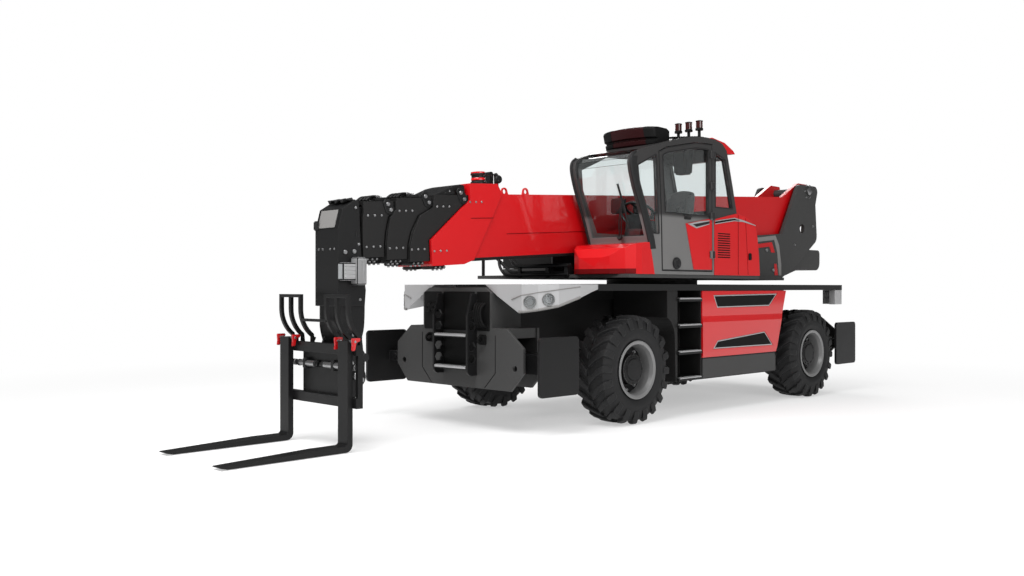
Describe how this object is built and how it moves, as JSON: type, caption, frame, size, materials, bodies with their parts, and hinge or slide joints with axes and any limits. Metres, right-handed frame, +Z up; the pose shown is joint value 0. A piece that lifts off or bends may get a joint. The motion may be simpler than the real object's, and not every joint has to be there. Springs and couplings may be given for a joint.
{
  "type": "rotating telehandler",
  "caption": "Rotating telehandler with a slewing turret and cab, telescopic boom, pallet forks and folding stabiliser legs on a steered wheeled carrier.",
  "frame": {"origin": "middle of the overall length and width, on the ground under the tyres", "axes": "+X forward towards the forks, +Y to the driver's left, +Z up"},
  "size_m": [10.1504, 2.532, 3.4346],
  "materials": {
    "red_paint": "gloss",
    "anthracite_paint": "satin",
    "black_paint": "satin",
    "grey_paint": "satin",
    "silver_paint": "satin",
    "tyre_rubber": "matt",
    "axle_paint": "satin",
    "leg_paint": "satin",
    "galvanised_steel": "satin",
    "chrome_rod": "polished",
    "clear_glass": "polished",
    "lamp_lens": "polished",
    "beacon_amber": "gloss",
    "black_plastic": "satin",
    "seat_cloth": "matt"
  },
  "bodies": {
    "chassis": {"chassis_frame": "anthracite_paint", "front_bay": "anthracite_paint", "rear_bay": "anthracite_paint", "deck": "black_paint", "side_boxes": "anthracite_paint", "side_panels": "red_paint", "access_steps": "galvanised_steel", "front_ladder": "black_paint", "corner_housings": "silver_paint", "headlamps": "lamp_lens", "axles": "axle_paint"},
    "turret": {"turret_frame": "anthracite_paint", "cab_frame": "grey_paint", "cab_glass": "clear_glass", "cab_trim": "black_plastic", "seat": "seat_cloth", "cab_cowls": "red_paint", "roof_visor": "black_plastic", "beacons": "beacon_amber", "engine_block": "axle_paint", "guard_rail": "black_paint"},
    "door": {"cab_door": "grey_paint", "door_panel": "red_paint", "door_glass": "clear_glass"},
    "hood": {"engine_hood": "anthracite_paint"},
    "boom": {"boom_base": "red_paint"},
    "boom_2": {"boom_section_2": "anthracite_paint"},
    "boom_3": {"boom_section_3": "anthracite_paint"},
    "boom_4": {"boom_section_4": "anthracite_paint"},
    "head": {"boom_head": "black_paint"},
    "lift_barrel": {"lift_barrel": "axle_paint"},
    "lift_rod": {"lift_rod": "chrome_rod"},
    "carriage": {"carriage": "black_paint"},
    "fork_left": {"fork_left": "black_paint"},
    "fork_right": {"fork_right": "black_paint"},
    "steer_fl": {"knuckle_fl": "axle_paint"},
    "wheel_fl": {"tyre_fl": "tyre_rubber", "rim_fl": "silver_paint"},
    "leg_fl_arm": {"leg_fl_arm": "leg_paint"},
    "leg_fl_beam": {"leg_fl_beam": "leg_paint"},
    "leg_fl_foot": {"leg_fl_foot": "leg_paint"},
    "steer_fr": {"knuckle_fr": "axle_paint"},
    "wheel_fr": {"tyre_fr": "tyre_rubber", "rim_fr": "silver_paint"},
    "leg_fr_arm": {"leg_fr_arm": "leg_paint"},
    "leg_fr_beam": {"leg_fr_beam": "leg_paint"},
    "leg_fr_foot": {"leg_fr_foot": "leg_paint"},
    "steer_rl": {"knuckle_rl": "axle_paint"},
    "wheel_rl": {"tyre_rl": "tyre_rubber", "rim_rl": "silver_paint"},
    "leg_rl_arm": {"leg_rl_arm": "leg_paint"},
    "leg_rl_beam": {"leg_rl_beam": "leg_paint"},
    "leg_rl_foot": {"leg_rl_foot": "leg_paint"},
    "steer_rr": {"knuckle_rr": "axle_paint"},
    "wheel_rr": {"tyre_rr": "tyre_rubber", "rim_rr": "silver_paint"},
    "leg_rr_arm": {"leg_rr_arm": "leg_paint"},
    "leg_rr_beam": {"leg_rr_beam": "leg_paint"},
    "leg_rr_foot": {"leg_rr_foot": "leg_paint"}
  },
  "joints": [
    {"name": "slew", "type": "hinge", "parent": "chassis", "child": "turret", "pos_m": [-1.2252, 0, 1.5], "axis": [0, 0, 1], "continuous": true},
    {"name": "boom_lift", "type": "hinge", "parent": "turret", "child": "boom", "pos_m": [-4.6252, 0, 2.92], "axis": [0, -1, 0], "range_deg": [0, 76]},
    {"name": "extend_2", "type": "slide", "parent": "boom", "child": "boom_2", "axis": [0.9981, 0, -0.061], "range_m": [0, 5.6]},
    {"name": "extend_3", "type": "slide", "parent": "boom_2", "child": "boom_3", "axis": [0.9981, 0, -0.061], "range_m": [0, 5.6]},
    {"name": "extend_4", "type": "slide", "parent": "boom_3", "child": "boom_4", "axis": [0.9981, 0, -0.061], "range_m": [0, 5.6]},
    {"name": "extend_5", "type": "slide", "parent": "boom_4", "child": "head", "axis": [0.9981, 0, -0.061], "range_m": [0, 5.6]},
    {"name": "lift_barrel_turn", "type": "hinge", "parent": "turret", "child": "lift_barrel", "pos_m": [-3.6052, 0, 1.755], "axis": [0, -1, 0], "range_deg": [0, 77.07]},
    {"name": "lift_rod_slide", "type": "slide", "parent": "lift_barrel", "child": "lift_rod", "axis": [0.9999, 0, 0.0114], "range_m": [0, 1.9065]},
    {"name": "carriage_tilt", "type": "hinge", "parent": "head", "child": "carriage", "pos_m": [3.5598, 0, 0.64], "axis": [0, 1, 0], "range_deg": [-12, 100]},
    {"name": "fork_shift_left", "type": "slide", "parent": "carriage", "child": "fork_left", "axis": [0, 1, 0], "range_m": [-0.27, 0.05]},
    {"name": "fork_shift_right", "type": "slide", "parent": "carriage", "child": "fork_right", "axis": [0, -1, 0], "range_m": [-0.27, 0.05]},
    {"name": "cab_door_hinge", "type": "hinge", "parent": "turret", "child": "door", "pos_m": [-0.80125, 1.237, 2.41], "axis": [0, 0, 1], "range_deg": [0, 90]},
    {"name": "hood_hinge", "type": "hinge", "parent": "turret", "child": "hood", "pos_m": [-1.2252, -0.3575, 2.25], "axis": [-1, 0, 0], "range_deg": [0, 55]},
    {"name": "steer_fl", "type": "hinge", "parent": "chassis", "child": "steer_fl", "pos_m": [0.6448, 0.9, 0.585], "axis": [0, 0, 1], "range_deg": [-32, 32]},
    {"name": "wheel_fl_spin", "type": "hinge", "parent": "steer_fl", "child": "wheel_fl", "pos_m": [0.6448, 1.04, 0.585], "axis": [0, 1, 0], "continuous": true},
    {"name": "leg_fl_swing", "type": "hinge", "parent": "chassis", "child": "leg_fl_arm", "pos_m": [1.7948, -0.7, 0.69], "axis": [-1, 0, 0], "range_deg": [0, 10.3]},
    {"name": "leg_fl_extend", "type": "slide", "parent": "leg_fl_arm", "child": "leg_fl_beam", "axis": [0, 1, 0], "range_m": [0, 1.25]},
    {"name": "leg_fl_foot_turn", "type": "hinge", "parent": "leg_fl_beam", "child": "leg_fl_foot", "pos_m": [1.7948, 1.13, 0.69], "axis": [-1, 0, 0], "range_deg": [0, 79.7]},
    {"name": "steer_fr", "type": "hinge", "parent": "chassis", "child": "steer_fr", "pos_m": [0.6448, -0.9, 0.585], "axis": [0, 0, 1], "range_deg": [-32, 32]},
    {"name": "wheel_fr_spin", "type": "hinge", "parent": "steer_fr", "child": "wheel_fr", "pos_m": [0.6448, -1.04, 0.585], "axis": [0, 1, 0], "continuous": true},
    {"name": "leg_fr_swing", "type": "hinge", "parent": "chassis", "child": "leg_fr_arm", "pos_m": [1.9948, 0.7, 0.69], "axis": [1, 0, 0], "range_deg": [0, 10.3]},
    {"name": "leg_fr_extend", "type": "slide", "parent": "leg_fr_arm", "child": "leg_fr_beam", "axis": [0, -1, 0], "range_m": [0, 1.25]},
    {"name": "leg_fr_foot_turn", "type": "hinge", "parent": "leg_fr_beam", "child": "leg_fr_foot", "pos_m": [1.9948, -1.13, 0.69], "axis": [1, 0, 0], "range_deg": [0, 79.7]},
    {"name": "steer_rl", "type": "hinge", "parent": "chassis", "child": "steer_rl", "pos_m": [-3.0952, 0.9, 0.585], "axis": [0, 0, 1], "range_deg": [-32, 32]},
    {"name": "wheel_rl_spin", "type": "hinge", "parent": "steer_rl", "child": "wheel_rl", "pos_m": [-3.0952, 1.04, 0.585], "axis": [0, 1, 0], "continuous": true},
    {"name": "leg_rl_swing", "type": "hinge", "parent": "chassis", "child": "leg_rl_arm", "pos_m": [-3.9202, -0.7, 0.69], "axis": [-1, 0, 0], "range_deg": [0, 10.3]},
    {"name": "leg_rl_extend", "type": "slide", "parent": "leg_rl_arm", "child": "leg_rl_beam", "axis": [0, 1, 0], "range_m": [0, 1.25]},
    {"name": "leg_rl_foot_turn", "type": "hinge", "parent": "leg_rl_beam", "child": "leg_rl_foot", "pos_m": [-3.9202, 1.13, 0.69], "axis": [-1, 0, 0], "range_deg": [0, 79.7]},
    {"name": "steer_rr", "type": "hinge", "parent": "chassis", "child": "steer_rr", "pos_m": [-3.0952, -0.9, 0.585], "axis": [0, 0, 1], "range_deg": [-32, 32]},
    {"name": "wheel_rr_spin", "type": "hinge", "parent": "steer_rr", "child": "wheel_rr", "pos_m": [-3.0952, -1.04, 0.585], "axis": [0, 1, 0], "continuous": true},
    {"name": "leg_rr_swing", "type": "hinge", "parent": "chassis", "child": "leg_rr_arm", "pos_m": [-4.1202, 0.7, 0.69], "axis": [1, 0, 0], "range_deg": [0, 10.3]},
    {"name": "leg_rr_extend", "type": "slide", "parent": "leg_rr_arm", "child": "leg_rr_beam", "axis": [0, -1, 0], "range_m": [0, 1.25]},
    {"name": "leg_rr_foot_turn", "type": "hinge", "parent": "leg_rr_beam", "child": "leg_rr_foot", "pos_m": [-4.1202, -1.13, 0.69], "axis": [1, 0, 0], "range_deg": [0, 79.7]}
  ],
  "couplings": [
    {"joint": "extend_3", "follows": "extend_2", "ratio": 1},
    {"joint": "extend_4", "follows": "extend_2", "ratio": 1},
    {"joint": "extend_5", "follows": "extend_2", "ratio": 1},
    {"joint": "lift_barrel_turn", "follows": "boom_lift", "ratio": 1.014},
    {"joint": "lift_rod_slide", "follows": "boom_lift", "m_per_rad": 1.4365},
    {"joint": "fork_shift_right", "follows": "fork_shift_left", "ratio": 1},
    {"joint": "leg_fl_extend", "follows": "leg_fl_swing", "m_per_rad": 6.9533},
    {"joint": "leg_fl_foot_turn", "follows": "leg_fl_swing", "ratio": 7.7378},
    {"joint": "steer_fr", "follows": "steer_fl", "ratio": 1},
    {"joint": "leg_fr_extend", "follows": "leg_fr_swing", "m_per_rad": 6.9533},
    {"joint": "leg_fr_foot_turn", "follows": "leg_fr_swing", "ratio": 7.7378},
    {"joint": "leg_rl_extend", "follows": "leg_rl_swing", "m_per_rad": 6.9533},
    {"joint": "leg_rl_foot_turn", "follows": "leg_rl_swing", "ratio": 7.7378},
    {"joint": "steer_rr", "follows": "steer_rl", "ratio": 1},
    {"joint": "leg_rr_extend", "follows": "leg_rr_swing", "m_per_rad": 6.9533},
    {"joint": "leg_rr_foot_turn", "follows": "leg_rr_swing", "ratio": 7.7378}
  ]
}
